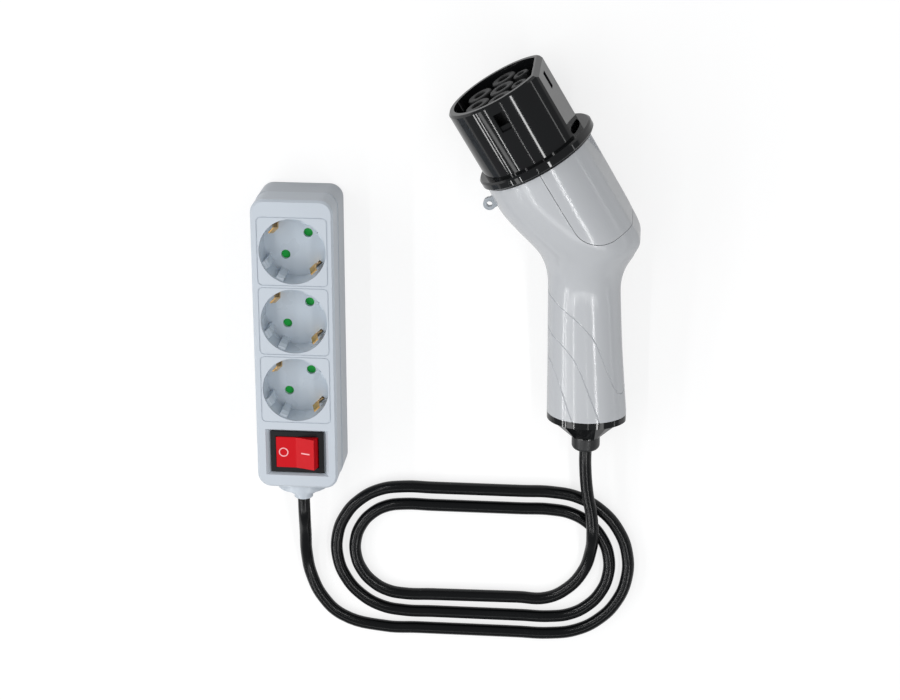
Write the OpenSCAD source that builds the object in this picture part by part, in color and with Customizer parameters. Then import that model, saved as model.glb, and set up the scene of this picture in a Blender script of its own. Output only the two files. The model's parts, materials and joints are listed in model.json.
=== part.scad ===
// Vehicle-to-load adapter: a three-way socket strip with a rocker switch,
// a black cord laid in flat loops, and a seven-contact vehicle connector lying on its side.
// Everything rests on the plane z = 0. Lengths are in millimetres, angles in degrees.

/* [Socket strip] */
// Length of the strip without its cord gland
strip_l = 177; // [176:0.5:190]
// Width of the front cover
strip_w = 48; // [47.5:0.5:60]
// Depth from the back face to the front face
strip_d = 40; // [39.5:0.5:50]
// Corner radius seen from the front
corner_r = 8; // [5:0.5:10]
// Wall of both covers
case_wall = 2; // [1.6:0.1:2.2]
// Thickness of the front face
face_t = 2.2; // [1.6:0.1:2.6]
// Height of the back cover, where the two covers meet
seam_z = 21.5; // [18:0.5:23]
// How far the back cover stands out past the front cover
back_step = 0.4; // [0:0.1:1]
// Bevel along the edge of the front face
edge_bevel = 1.3; // [0.6:0.1:1.8]

/* [Sockets] */
// Distance between neighbouring socket centres
socket_pitch = 42.2; // [42:0.1:43.5]
// Distance from the top end to the first socket centre
socket_top = 30.6; // [29:0.2:33]
// Diameter of the plug recess
recess_d = 39; // [38:0.2:39.4]
// Depth of the plug recess
recess_depth = 17.5; // [15:0.5:18]
// Distance between the two pin holes
pin_pitch = 19; // [18:0.5:20]
// Diameter of a pin hole
pin_hole_d = 5.5; // [5:0.1:6]
// Side of the square groove round each socket
panel_w = 41.3; // [40.5:0.1:41.8]
// Wall of a socket cup
cup_wall = 1.5; // [1.2:0.1:1.5]
// Floor of a socket cup
cup_floor = 2.5; // [2:0.1:3]
// Thickness of a shutter
shutter_t = 2; // [1.4:0.1:2.2]
// Width of an earth clip
earth_w = 4.4; // [3.6:0.2:5]

/* [Switch] */
// Distance from the bottom end to the centre of the switch
switch_y = 22.3; // [22:0.1:23]
// Width of the switch bezel
bezel_w = 31.8; // [31.4:0.1:33]
// Height of the switch bezel
bezel_h = 25.7; // [25.4:0.1:26.5]
// Width of the rocker opening
rocker_w = 25.8; // [24:0.2:26.4]
// Height of the rocker opening
rocker_h = 19.7; // [18:0.1:19.8]
// Tilt of the rocker to each side
rocker_tilt = 9; // [6:0.5:10]

/* [Cord] */
// Outer diameter of the cord
cord_d = 7.5; // [6.5:0.1:8]
// Distance between neighbouring runs of the loops
run_gap = 11.5; // [10:0.5:13]

/* [Connector nose] */
// Length of the nose in front of the collar
nose_len = 41.7; // [38:0.1:46]
// Outer radius of the nose
nose_r = 31.5; // [31:0.1:32]
// Height of the flat on the outside of the nose
nose_flat = 26.3; // [26:0.1:27]
// Wall of the nose
nose_wall = 3.8; // [3:0.1:4.2]
// Width of the three lock slots
slot_w = 6.2; // [5:0.2:7]
// Outer diameter of the five large sleeves
sleeve_d = 14.6; // [13.8:0.1:15]
// Outer diameter of the two small sleeves
small_sleeve_d = 9.4; // [9:0.1:10]
// Bore of a power contact
power_bore_d = 6.1; // [6:0.05:6.3]
// Bore of a signal contact
signal_bore_d = 3.1; // [3:0.05:3.3]
// Distance between the three contacts in the middle row
contact_pitch = 17; // [16.5:0.1:17.5]

/* [Connector body] */
// Outer radius of the black collar
collar_r = 35.5; // [35:0.1:37]
// Thickness of the collar
collar_t = 5; // [4:0.1:6]
// Wall of the white housing
shell_wall = 2.8; // [2.4:0.1:3]
// Half the width of the handle where it ends
grip_half_w = 17.6; // [17:0.1:18.5]
// Outer diameter of the gland at the end of the handle
gland_d = 16.8; // [15:0.2:18]
// Length of that gland
gland_len = 8.7; // [7:0.1:10]

/* [Hidden] */
$fn = 48;
eps = 0.01;

// Fits
slide_gap = 0.3;   // between pieces that move past each other
seat_gap = 0.15;   // between pieces that only sit in each other
pivot_gap = 0.08;  // round a pivot

// Where the strip and the connector lie
strip_x = -87.1;
strip_y = -122.9;
gun_x = 50.77;
gun_y = 86.99;

// Socket heights, measured from the back face
recess_z = strip_d - recess_depth;
cup_bottom = recess_z - cup_floor;
shutter_top = cup_bottom - slide_gap;
shutter_bottom = shutter_top - shutter_t;
carrier_top = shutter_bottom - slide_gap;
carrier_t = 2;
carrier_z = carrier_top - carrier_t;
carrier_half_w = 17;
carrier_low = 19.4;
carrier_high = 20.8;
bar_t = 1;
bar_z = carrier_z - bar_t;
bar_w = 8;
finger_len = 9;
finger_t = 0.8;
finger_w = 5;
bar_reach_low = 26;
bar_reach_high = 12;
strap_t = 0.8;
strap_z = bar_z - 1.6 - strap_t;
earth_bar_t = 1;
earth_bar_w = 4.8;
earth_reach_high = 8;
earth_bar_z = strap_z - earth_bar_t;
clip_r = 17.2;
post_r = 2.5;
pin_xy = pin_pitch / 2 * cos(45);
function socket_y(i) = strip_l - socket_top - i * socket_pitch;
last_socket_y = socket_y(2);

// Screw posts that hold the two covers together
screw_r = 1.5;
screw_head_r = 2.9;
screw_head_t = 2.2;
boss_r = 3.4;
boss_meet_z = 14;
end_post_x = 14;
side_post_x = strip_w / 2 - case_wall - boss_r - 0.3;
top_post_y = strip_l - case_wall - boss_r - 0.3;
low_post_y = last_socket_y - 23.5;
screw_spots = [
    [-end_post_x, top_post_y], [end_post_x, top_post_y],
    [-side_post_x, low_post_y], [side_post_x, low_post_y]
];

// Switch pocket and housing
pocket_depth = 3;
pocket_z = strip_d - pocket_depth;
pocket_t = 1.8;
pocket_side = 2.7;
pocket_end = 1.5;
bezel_t = 2;
bezel_top = pocket_z + bezel_t;
body_w = bezel_w - 2.2;
body_h = bezel_h - 4.1;
body_depth = 22;
pivot_drop = 4;
pivot_z = bezel_top - pivot_drop;
pivot_r = 1.5;
rocker_r = rocker_w / 2 - slide_gap;
rocker_rise = 0.6;
rocker_tip_x = rocker_r - 0.95;
terminal_t = 0.8;
terminal_w = 6.3;
terminal_len = 8;

// Cord gland of the strip
gland_z = strip_d / 2;
boss_d = 30.6;
boss_side = 5.8;
boss_dome = 2.2;
ring_d = 15.8;
ring_t = 2.1;
neck_d = 11.3;
neck_len = 3.8;
gland_neck_r = 9;
gland_out = boss_side + boss_dome + ring_t + neck_len;
cord_r = cord_d / 2;
tail_bore_r = cord_r + seat_gap;

// Connector frame: x is up, y is forward along the nose, z is to the left
bend = 29.8;
rest_lift = 0.25;
gun_z = collar_r + rest_lift;
rest_span = 166.1;
nose_up = asin((gun_z - 0.1 - grip_half_w) / rest_span);
seal_t = 1.2;
housing_y = -collar_t - seal_t;
nose_in_r = nose_r - nose_wall;
nose_in_flat = nose_flat - nose_wall + 0.3;
spigot_r = 29;
spigot_flat = 25.6;
spigot_len = 14;
pin_shift = 1.2;
block_front = 3;
block_back = -8;
sleeve_tip = nose_len - 2.4;
lip_t = 3;
lip_draft = 0.05;
lip_gap = 0.2;
power_r = 4.4;
signal_r = 2.6;
bore_len = 30;
contact_gap = 0.1;
lower_row = -14.7;
upper_row = 11.7;
half_pitch = contact_pitch / 2;

// Lock slots: length, and distance of the far edge from the front of the nose
slot_l = 8;
slot_back = 14.2;
slot_low = 0.6;
top_slot_l = 10;
top_slot_back = 15.7;

// Thumb recess in the top of the head: steep in front, running out to the back
head_top = 29;
thumb_half_w = 12;
thumb_depth = 1.9;
thumb_front = -8;
thumb_back = -26;

// Housing stations, front to end: underside x and y, top side x and y,
// half width, share of the height below the widest line, flatness of the top
stations = [
    [-33.8, housing_y, head_top, housing_y, 32.6, 0.54, 0.88],
    [-34.4, -22, head_top, -24, 32.2, 0.54, 0.88],
    [-32.2, -35, head_top, -42, 31.2, 0.54, 0.885],
    [-29.2, -47, 28.9, -60, 29.2, 0.54, 0.89],
    [-28, -56, 27.6, -74, 26, 0.54, 0.9],
    [-28.9, -64, 20, -81, 22.6, 0.53, 0.93],
    [-31.2, -71, 11.2, -86.8, 19.8, 0.52, 0.95],
    [-34.9, -78.1, 3.9, -94.9, 18.2, 0.51, 0.96],
    [-43, -92.3, -3.3, -108, 17.4, 0.5, 0.965],
    [-57.5, -117.8, -17, -135.2, 17.3, 0.5, 0.965],
    [-73.9, -146.2, -33.2, -169.5, grip_half_w, 0.5, 0.965]
];
last_station = len(stations) - 1;
end_station = stations[last_station];
end_x = (end_station[0] + end_station[2]) / 2;
end_y = (end_station[1] + end_station[3]) / 2;
end_half = norm([end_station[2] - end_station[0], end_station[3] - end_station[1]]) / 2;
band_t = 4.2;
taper_t = 11;
taper_inset = 1;
lip_half = 9.6;
lip_side = 10;
lip_r = 8.9;
lip_len = 0.8;
plug_len = 10;
tongue_len = 24;
tongue_w = 22;
tongue_side = 9;
grip_screw_x = 8;
grip_screw_back = plug_len + 14;
grip_bar_l = 8;
grip_bar_t = 5;
tail_len = 40;

// Route of the cord between the loops and its two ends, in the frame of the whole part
loop_left = -70;
loop_right = 110;
loop_low = -230;
loop_high = -135;
lie_z = cord_r + 0.1;
start_y = strip_y - gland_out;
cord_start = [
    [strip_x, start_y, gland_z],
    [strip_x, start_y - 12, gland_z - 1],
    [-88, -164, 11.5],
    [-88.5, -181, 6],
    [-86, -197, lie_z],
    [-79, -212, lie_z],
    [-67, -223.5, lie_z]
];
cord_end = [
    [60, -206, lie_z],
    [73, -199, lie_z],
    [82.5, -187, lie_z],
    [87, -172, 7],
    [88, -158, 12.6],
    [87, -144, 13.6],
    [84.5, -131, 13.9]
];

// Small helpers
function unit(v) = v / norm(v);
function cross_up(t) = unit([t.y, -t.x, 0]);

module rounded_plate(w, l, r, h) {
    linear_extrude(h)
        union() {
            square([w - 2 * r, l], center = true);
            square([w, l - 2 * r], center = true);
            for (sx = [-1, 1], sy = [-1, 1])
                translate([sx * (w / 2 - r), sy * (l / 2 - r)]) circle(r);
        }
}

module in_strip() {
    translate([strip_x, strip_y, 0]) children();
}

module at_socket(i) {
    in_strip() translate([0, socket_y(i), 0]) children();
}

module along_strip_end() {
    // Turns z towards the bottom end of the strip, on the axis of its gland
    in_strip() translate([0, 0, gland_z]) rotate([90, 0, 0]) children();
}

module lying() {
    translate([gun_x, gun_y, gun_z]) rotate([nose_up, 0, 0]) rotate([0, 0, bend]) children();
}

module along_nose() {
    // Turns z forward along the nose, and keeps x up
    lying() rotate([-90, 0, 0]) children();
}

module along_grip() {
    // Turns z down the handle from the end of the white housing, with x to its back
    lying() translate([end_x, end_y, 0]) rotate([0, 0, -bend]) rotate([90, 0, 0]) children();
}

module d_shape(r, flat) {
    intersection() {
        circle(r);
        translate([-2 * r, -2 * r]) square([2 * r + flat, 4 * r]);
    }
}

// Socket strip: covers
module cover_cavity(w, z0, h) {
    translate([0, strip_l / 2, z0])
        rounded_plate(w - 2 * case_wall, strip_l - 2 * case_wall, corner_r - case_wall, h);
}

module gland_hole() {
    translate([0, -5, gland_z]) rotate([-90, 0, 0]) cylinder(r = gland_neck_r + seat_gap, h = 12);
}

module strip_front_cover() {
    color("#dfe3ea") in_strip() {
        difference() {
            hull() {
                translate([0, strip_l / 2, seam_z])
                    rounded_plate(strip_w, strip_l, corner_r, strip_d - seam_z - edge_bevel);
                translate([0, strip_l / 2, seam_z])
                    rounded_plate(strip_w - 2 * edge_bevel, strip_l - 2 * edge_bevel,
                                  corner_r - edge_bevel, strip_d - seam_z);
            }
            cover_cavity(strip_w, seam_z - 1, strip_d - face_t - seam_z + 1);
            for (i = [0:2]) {
                translate([0, socket_y(i), seam_z]) cylinder(d = recess_d, h = strip_d, $fn = 96);
                translate([0, socket_y(i), strip_d - groove_d]) panel_groove();
            }
            translate([0, switch_y, 0]) switch_pocket();
            gland_hole();
        }
        difference() {
            translate([0, switch_y, pocket_z - pocket_t])
                translate([-body_w / 2 - 5, -body_h / 2 - 4.5, 0])
                    cube([body_w + 10, body_h + 9, strip_d - face_t - pocket_z + pocket_t + eps]);
            translate([0, switch_y, 0]) switch_pocket();
        }
        for (p = screw_spots) difference() {
            translate([p.x, p.y, boss_meet_z]) cylinder(r = boss_r, h = strip_d - face_t - boss_meet_z);
            translate([p.x, p.y, boss_meet_z - 1]) cylinder(r = screw_r, h = 13);
        }
    }
}

groove_w = 0.6;
groove_d = 0.45;
panel_corner_r = 3;

module panel_groove() {
    difference() {
        rounded_plate(panel_w, panel_w, panel_corner_r, 1);
        translate([0, 0, -1])
            rounded_plate(panel_w - 2 * groove_w, panel_w - 2 * groove_w, panel_corner_r - groove_w, 3);
    }
}

module switch_pocket() {
    flange_w = bezel_w + 2 * seat_gap;
    flange_h = bezel_h + 2 * seat_gap;
    hull() {
        translate([-flange_w / 2, -flange_h / 2, pocket_z]) cube([flange_w, flange_h, eps]);
        translate([-flange_w / 2 - pocket_side, -flange_h / 2 - pocket_end, strip_d])
            cube([flange_w + 2 * pocket_side, flange_h + 2 * pocket_end, eps]);
    }
    translate([-body_w / 2 - seat_gap, -body_h / 2 - seat_gap, seam_z])
        cube([body_w + 2 * seat_gap, body_h + 2 * seat_gap, strip_d]);
}

module strip_back_cover() {
    back_w = strip_w + 2 * back_step;
    rib_t = 2;
    rib_half = strip_w / 2 - case_wall - 0.3;
    rib_notch = 12;
    color("#d3d8e0") in_strip() {
        difference() {
            translate([0, strip_l / 2, 0])
                rounded_plate(back_w, strip_l, corner_r, seam_z);
            cover_cavity(back_w, case_wall, seam_z);
            gland_hole();
            for (p = screw_spots) translate([p.x, p.y, -1]) cylinder(r = screw_head_r + 0.2, h = 4);
        }
        for (p = screw_spots) difference() {
            translate([p.x, p.y, case_wall - eps]) cylinder(r = boss_r, h = boss_meet_z - case_wall + eps);
            translate([p.x, p.y, -1]) cylinder(r = screw_head_r + 0.2, h = 4);
            translate([p.x, p.y, -1]) cylinder(r = screw_r + 0.2, h = boss_meet_z + 2);
        }
        for (y = [last_socket_y - 18.2, last_socket_y + socket_pitch / 2, last_socket_y + 1.5 * socket_pitch,
                  socket_y(0) + 20])
            for (s = [-1, 1])
                translate([s > 0 ? rib_notch : -rib_half, y - rib_t / 2, case_wall - eps])
                    cube([rib_half - rib_notch, rib_t, carrier_z - case_wall + eps]);
        for (s = [-1, 1]) difference() {
            translate([s * clamp_x, clamp_y, case_wall - eps])
                cylinder(r = clamp_post_r, h = gland_z + cord_r - case_wall + eps);
            translate([s * clamp_x, clamp_y, gland_z - 8]) cylinder(r = clamp_screw_r, h = 20);
        }
    }
}

module screw(r, h, head_r, head_t) {
    // Stands on the plane z = 0 with its head down
    difference() {
        union() {
            cylinder(r = head_r, h = head_t);
            cylinder(r = r, h = h);
        }
        translate([0, 0, -1]) {
            translate([-head_r * 0.6, -0.35, 0]) cube([head_r * 1.2, 0.7, 1.8]);
            translate([-0.35, -head_r * 0.6, 0]) cube([0.7, head_r * 1.2, 1.8]);
        }
    }
}

module strip_screws() {
    color("silver") in_strip() for (p = screw_spots)
        translate([p.x, p.y, 0.8]) screw(screw_r - 0.05, boss_meet_z + 10, screw_head_r, screw_head_t);
}

module strip_gland() {
    color("#d8dde5") along_strip_end() difference() {
        rotate_extrude() polygon([
            [0, -4], [gland_neck_r + 2, -4], [gland_neck_r + 2, -case_wall - seat_gap],
            [gland_neck_r, -case_wall - seat_gap], [gland_neck_r, 0],
            [boss_d / 2, 0], [boss_d / 2, boss_side], [ring_d / 2 + 1.2, boss_side + boss_dome],
            [ring_d / 2, boss_side + boss_dome], [ring_d / 2, boss_side + boss_dome + ring_t],
            [neck_d / 2, boss_side + boss_dome + ring_t], [neck_d / 2, gland_out - 0.4],
            [neck_d / 2 - 0.4, gland_out], [0, gland_out]
        ]);
        translate([0, 0, -10]) cylinder(r = tail_bore_r, h = gland_out + 20);
    }
}

clamp_x = 7.2;
clamp_y = 7.4;
clamp_post_r = 2.9;
clamp_screw_r = 1;
clamp_bar_w = 20;
clamp_bar_l = 5;
clamp_bar_t = 4;

module strip_cord_tail() {
    color("#1b1c1e") along_strip_end() translate([0, 0, -10.5]) cylinder(r = cord_r, h = gland_out + 10.5);
}

module strip_cord_clamp() {
    color("#c9ced6") in_strip() difference() {
        translate([-clamp_bar_w / 2, clamp_y - clamp_bar_l / 2, gland_z + cord_r])
            cube([clamp_bar_w, clamp_bar_l, clamp_bar_t]);
        for (s = [-1, 1])
            translate([s * clamp_x, clamp_y, gland_z]) cylinder(r = clamp_screw_r + 0.1, h = 20);
    }
}

module strip_clamp_screws() {
    color("silver") in_strip() for (s = [-1, 1])
        translate([s * clamp_x, clamp_y, gland_z + cord_r + clamp_bar_t + 1.2])
            rotate([180, 0, 0]) screw(clamp_screw_r - 0.05, clamp_bar_t + 8, 1.9, 1.2);
}

// Socket strip: sockets
module guide_rib(angle) {
    rib_depth = 2.6;
    rib_width = 4.6;
    rotate([0, 0, angle]) intersection() {
        translate([recess_d / 2 - rib_depth, -rib_width / 2, recess_z - eps])
            cube([rib_depth + cup_wall / 2, rib_width, recess_depth - face_t + eps]);
        rotate([0, 0, 90]) translate([-10, 0, 0]) rotate([90, 0, 90])
            linear_extrude(20) polygon([
                [-recess_d / 2 + rib_depth + 1, recess_z - 1],
                [-recess_d / 2 - cup_wall, recess_z - 1],
                [-recess_d / 2 - cup_wall, strip_d],
                [-recess_d / 2 + 0.6, strip_d],
                [-recess_d / 2 + rib_depth, strip_d - face_t - 3]
            ]);
    }
}

module socket_cup(i) {
    color("#cfd5de") at_socket(i) {
        difference() {
            translate([0, 0, cup_bottom])
                cylinder(r = recess_d / 2 + cup_wall, h = strip_d - face_t - cup_bottom, $fn = 96);
            translate([0, 0, recess_z]) cylinder(d = recess_d, h = strip_d, $fn = 96);
            for (s = [-1, 1]) {
                translate([s * pin_xy, s * pin_xy, 0]) cylinder(d = pin_hole_d, h = strip_d);
                rotate([0, 0, -45]) translate([s * clip_r, 0, 0]) clip_slot();
            }
        }
        for (a = [29, 65, 209, 245]) guide_rib(a);
        translate([0, 0, carrier_top]) cylinder(r = post_r, h = cup_bottom - carrier_top + eps);
    }
}

module clip_slot() {
    translate([-strap_t / 2 - 0.6, -earth_w / 2 - 0.3, 0]) cube([strap_t + 1.2, earth_w + 0.6, recess_z + 1]);
}

module shutter(i) {
    pad_r = pin_hole_d / 2 + 1.25;
    color("#0a8f2d") at_socket(i) translate([0, 0, shutter_bottom]) difference() {
        union() {
            cylinder(r = post_r + 2.5, h = shutter_t);
            for (s = [-1, 1]) translate([s * pin_xy, s * pin_xy, 0]) cylinder(r = pad_r, h = shutter_t);
            rotate([0, 0, 45]) translate([-pin_pitch / 2, -1.8, 0]) cube([pin_pitch, 3.6, shutter_t]);
        }
        translate([0, 0, -1]) cylinder(r = post_r + pivot_gap, h = shutter_t + 2);
    }
}

module earth_clip(i) {
    tip_z = strip_d - 1.6;
    bulge_z = strip_d - 7.5;
    outer = clip_r + strap_t / 2;
    inner = clip_r - strap_t / 2;
    bulge = 2.2;
    half = [
        [outer, strap_z], [outer, recess_z + 1], [outer - bulge, bulge_z], [outer, tip_z],
        [inner, tip_z], [inner - bulge, bulge_z], [inner, recess_z + 1], [inner, strap_z + strap_t]
    ];
    color("#c98f3c") at_socket(i) rotate([0, 0, -45]) rotate([90, 0, 0])
        translate([0, 0, -earth_w / 2]) linear_extrude(earth_w)
            polygon(concat(half, [for (k = [len(half) - 1:-1:0]) [-half[k].x, half[k].y]]));
}

module contact_carrier() {
    color("#e8e6df") in_strip() difference() {
        translate([-carrier_half_w, last_socket_y - carrier_low, carrier_z])
            cube([2 * carrier_half_w, socket_y(0) - last_socket_y + carrier_low + carrier_high, carrier_t]);
        for (i = [0:2]) translate([0, socket_y(i), 0]) for (s = [-1, 1]) {
            translate([s * pin_xy, s * pin_xy, 0]) cylinder(d = pin_hole_d, h = strip_d);
            rotate([0, 0, -45]) translate([s * clip_r, 0, 0]) clip_slot();
        }
    }
}

module contact_bar(side) {
    x = side * pin_xy;
    bar_low = last_socket_y - bar_reach_low;
    bar_high = socket_y(0) + bar_reach_high;
    color("#c9a24a") in_strip() {
        difference() {
            translate([x - bar_w / 2, bar_low, bar_z]) cube([bar_w, bar_high - bar_low, bar_t]);
            for (i = [0:2]) translate([x, socket_y(i) + x, 0]) cylinder(d = pin_hole_d, h = strip_d);
        }
        for (i = [0:2]) for (s = [-1, 1])
            translate([x + s * (pin_hole_d + finger_t) / 2 - finger_t / 2,
                       socket_y(i) + x - finger_w / 2, bar_z - finger_len])
                cube([finger_t, finger_w, finger_len + eps]);
    }
}

module earth_bar() {
    color("#c9a24a") in_strip()
        translate([-earth_bar_w / 2, last_socket_y - bar_reach_low, earth_bar_z])
            cube([earth_bar_w, socket_y(0) - last_socket_y + bar_reach_low + earth_reach_high, earth_bar_t]);
}

// Socket strip: switch
module switch_housing() {
    color("#101113") in_strip() translate([0, switch_y, 0]) difference() {
        union() {
            translate([-bezel_w / 2, -bezel_h / 2, pocket_z]) cube([bezel_w, bezel_h, bezel_t]);
            translate([-body_w / 2, -body_h / 2, pocket_z - body_depth])
                cube([body_w, body_h, body_depth + eps]);
        }
        translate([-rocker_w / 2, -rocker_h / 2, pivot_z - rocker_r - slide_gap])
            cube([rocker_w, rocker_h, strip_d]);
        translate([0, 0, pivot_z]) rotate([90, 0, 0])
            cylinder(r = pivot_r + pivot_gap, h = body_h + 2, center = true);
    }
}

module rocker_profile() {
    rise = rocker_tip_x * tan(rocker_tilt);
    mid = pivot_drop + rocker_rise;
    far = 2 * rocker_r;
    side = sqrt(rocker_r * rocker_r - pivot_drop * pivot_drop);
    intersection() {
        union() {
            circle(rocker_r, $fn = 96);
            polygon([[-rocker_tip_x, mid + rise], [0, mid], [rocker_tip_x, mid + rise],
                     [side, pivot_drop], [-side, pivot_drop]]);
        }
        polygon([[-far, mid + far * tan(rocker_tilt)], [0, mid], [far, mid + far * tan(rocker_tilt)],
                 [far, -far], [-far, -far]]);
    }
}

module switch_rocker() {
    half_h = rocker_h / 2 - slide_gap;
    color("#c3121b") in_strip() translate([0, switch_y, pivot_z]) rotate([0, -rocker_tilt, 0]) {
        rotate([90, 0, 0]) linear_extrude(2 * half_h, center = true) rocker_profile();
        rotate([90, 0, 0]) cylinder(r = pivot_r, h = body_h - 0.2, center = true);
    }
}

module switch_terminals() {
    color("#c9a24a") in_strip() translate([0, switch_y, pocket_z - body_depth])
        for (sx = [-1, 1], sy = [-1, 1])
            translate([sx * 8 - terminal_w / 2, sy * 6 - terminal_t / 2, -terminal_len])
                cube([terminal_w, terminal_t, terminal_len]);
}

// Cord
loop_r = [for (k = [0:3]) (loop_high - loop_low - k * run_gap) / 2];
loop_x = loop_right - loop_r[0];
turn_x = loop_left + loop_r[1];
arc_steps = 9;

// Half turns of the flat loops: right, left, right, left, each one pitch smaller than the last
function arc_points(cx, cy, r, from, to) =
    [for (i = [0:arc_steps]) let (a = from + (to - from) * i / arc_steps)
        [cx + r * cos(a), cy + r * sin(a), lie_z]];
function right_turn(k) =
    let (low = loop_low + k * run_gap, high = loop_high - k * run_gap)
    arc_points(loop_x, (low + high) / 2, (high - low) / 2, -90, 90);
function left_turn(k) =
    let (low = loop_low + (k + 1) * run_gap, high = loop_high - k * run_gap)
    arc_points(turn_x, (low + high) / 2, (high - low) / 2, 90, 270);
function straight(a, b, n) = [for (i = [1:n]) a + (b - a) * i / (n + 1)];

low_0 = [turn_x - 12, loop_low, lie_z];
turns = concat(
    [low_0], straight(low_0, right_turn(0)[0], 5),
    right_turn(0), straight(right_turn(0)[arc_steps], left_turn(0)[0], 4),
    left_turn(0), straight(left_turn(0)[arc_steps], right_turn(1)[0], 4),
    right_turn(1), straight(right_turn(1)[arc_steps], left_turn(1)[0], 4),
    left_turn(1), straight(left_turn(1)[arc_steps], cord_end[0], 4)
);

grip_out = band_t + taper_t + lip_len + gland_len;
grip_exit = gun_point(end_x - sin(bend) * grip_out, end_y - cos(bend) * grip_out);
grip_dir = unit([0, -cos(nose_up), -sin(nose_up)]);
function gun_point(x, y) =
    let (px = x * cos(bend) - y * sin(bend), py = x * sin(bend) + y * cos(bend))
    [gun_x + px, gun_y + py * cos(nose_up), gun_z + py * sin(nose_up)];

cord_path = concat(cord_start, turns, cord_end, [grip_exit + 12 * grip_dir, grip_exit]);

module tube(path, r, sides) {
    n = len(path);
    tangents = [for (i = [0:n - 1])
        i == 0 ? [0, -1, 0] : i == n - 1 ? -grip_dir : unit(path[i + 1] - path[i - 1])];
    points = [for (i = [0:n - 1]) let (t = tangents[i], s = cross_up(t), u = cross(s, t))
        for (j = [0:sides - 1]) let (a = 360 * (j + 0.5) / sides) path[i] + r * (cos(a) * s + sin(a) * u)];
    faces = concat(
        [[for (j = [0:sides - 1]) j]],
        [for (i = [0:n - 2], j = [0:sides - 1]) let (a = i * sides + j, b = i * sides + (j + 1) % sides)
            each [[a, a + sides, b], [b, a + sides, b + sides]]],
        [[for (j = [sides - 1:-1:0]) (n - 1) * sides + j]]
    );
    polyhedron(points, faces);
}

module cord() {
    color("#17181a") tube(cord_path, cord_r, 10);
}

// Connector: nose
module nose_shroud() {
    color("#1a1b1d") along_nose() difference() {
        union() {
            difference() {
                rotate_extrude($fn = 96) polygon([
                    [spigot_r - 6, 0], [nose_r, 0], [nose_r, nose_len - 1.2], [nose_r - 1.2, nose_len],
                    [spigot_r - 6, nose_len]
                ]);
                translate([nose_flat, -50, -1]) cube([20, 100, nose_len + 2]);
                translate([0, 50, nose_len]) rotate([90, 0, 0]) linear_extrude(100)
                    polygon([
                        [nose_flat + 1, -3.5], [nose_flat, -2.5], [nose_flat - 2.3, 0],
                        [nose_flat - 2.3, 1], [nose_flat + 1, 1]
                    ]);
            }
            translate([0, 0, -spigot_len])
                linear_extrude(spigot_len + eps) d_shape(spigot_r, spigot_flat, $fn = 96);
        }
        translate([0, 0, -spigot_len - 1]) linear_extrude(nose_len + spigot_len + 2)
            d_shape(nose_in_r, nose_in_flat, $fn = 96);
        for (s = [-1, 1]) {
            translate([-slot_w / 2 - slot_low, s * nose_r - 6, nose_len - slot_back])
                cube([slot_w, 12, slot_l]);
            translate([-slot_w / 2 - slot_low, s * nose_r - 2, nose_len - slot_back - 3])
                cube([slot_w, 4, 3 + eps]);
        }
        translate([nose_in_flat - 5, -slot_w / 2, nose_len - top_slot_back])
            cube([15, slot_w, top_slot_l]);
    }
}

power_spots = [
    [pin_shift, 0], [pin_shift, contact_pitch], [pin_shift, -contact_pitch],
    [pin_shift + lower_row, half_pitch], [pin_shift + lower_row, -half_pitch]
];
signal_spots = [[pin_shift + upper_row, half_pitch], [pin_shift + upper_row, -half_pitch]];

module contact_block() {
    color("#1f2022") along_nose() difference() {
        translate([0, 0, block_back]) linear_extrude(block_front - block_back)
            d_shape(nose_in_r - seat_gap, nose_in_flat - seat_gap, $fn = 96);
        for (p = power_spots) translate([p.x, p.y, block_back - 1])
            cylinder(r = power_r + contact_gap, h = block_front - block_back + 2);
        for (p = signal_spots) translate([p.x, p.y, block_back - 1])
            cylinder(r = signal_r + contact_gap, h = block_front - block_back + 2);
    }
}

module sleeve(spot, d, cavity_r, hole_r) {
    // Stands on the block; its lip is a little wider inside than the contact's bore, and opens to the back
    color("#45474a") along_nose() translate([spot.x, spot.y, 0]) rotate_extrude() polygon([
        [cavity_r, block_front], [d / 2, block_front], [d / 2, sleeve_tip - 0.5], [d / 2 - 0.5, sleeve_tip],
        [hole_r + 0.5, sleeve_tip], [hole_r, sleeve_tip - 0.5], [hole_r + lip_draft, sleeve_tip - lip_t],
        [cavity_r, sleeve_tip - lip_t]
    ]);
}

module power_sleeve(i) {
    sleeve(power_spots[i], sleeve_d, power_r + contact_gap, power_bore_d / 2 + 0.45);
}

module signal_sleeve(i) {
    sleeve(signal_spots[i], small_sleeve_d, signal_r + contact_gap, signal_bore_d / 2 + 0.65);
}

module nose_collar() {
    color("#141517") along_nose() translate([0, 0, -collar_t]) rotate_extrude($fn = 120) polygon([
        [spigot_r + seat_gap, 0], [collar_r - 0.8, 0], [collar_r, 0.8], [collar_r, collar_t - 1],
        [collar_r - 1, collar_t], [spigot_r + seat_gap, collar_t]
    ]);
}

module collar_seal() {
    color("#26282b") along_nose() translate([0, 0, housing_y]) rotate_extrude($fn = 96) polygon([
        [spigot_r + seat_gap, 0], [collar_r - 2.2, 0], [collar_r - 1.4, seal_t / 2], [collar_r - 2.2, seal_t],
        [spigot_r + seat_gap, seal_t]
    ]);
}

module contact(spot, r, bore_r) {
    front = sleeve_tip - lip_t - lip_gap;
    tail = block_back - 10;
    color("#cfc9b8") along_nose() translate([spot.x, spot.y, 0]) difference() {
        rotate_extrude() polygon([
            [0, tail], [r - 0.7, tail], [r - 0.7, block_back - 1.5], [r, block_back - 1.5],
            [r, front - 0.6], [r - 0.6, front], [0, front]
        ]);
        translate([0, 0, front - bore_len]) cylinder(r = bore_r, h = bore_len + 1);
        translate([0, 0, tail - 1]) cylinder(r = r - 1.5, h = 8);
    }
}

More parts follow.
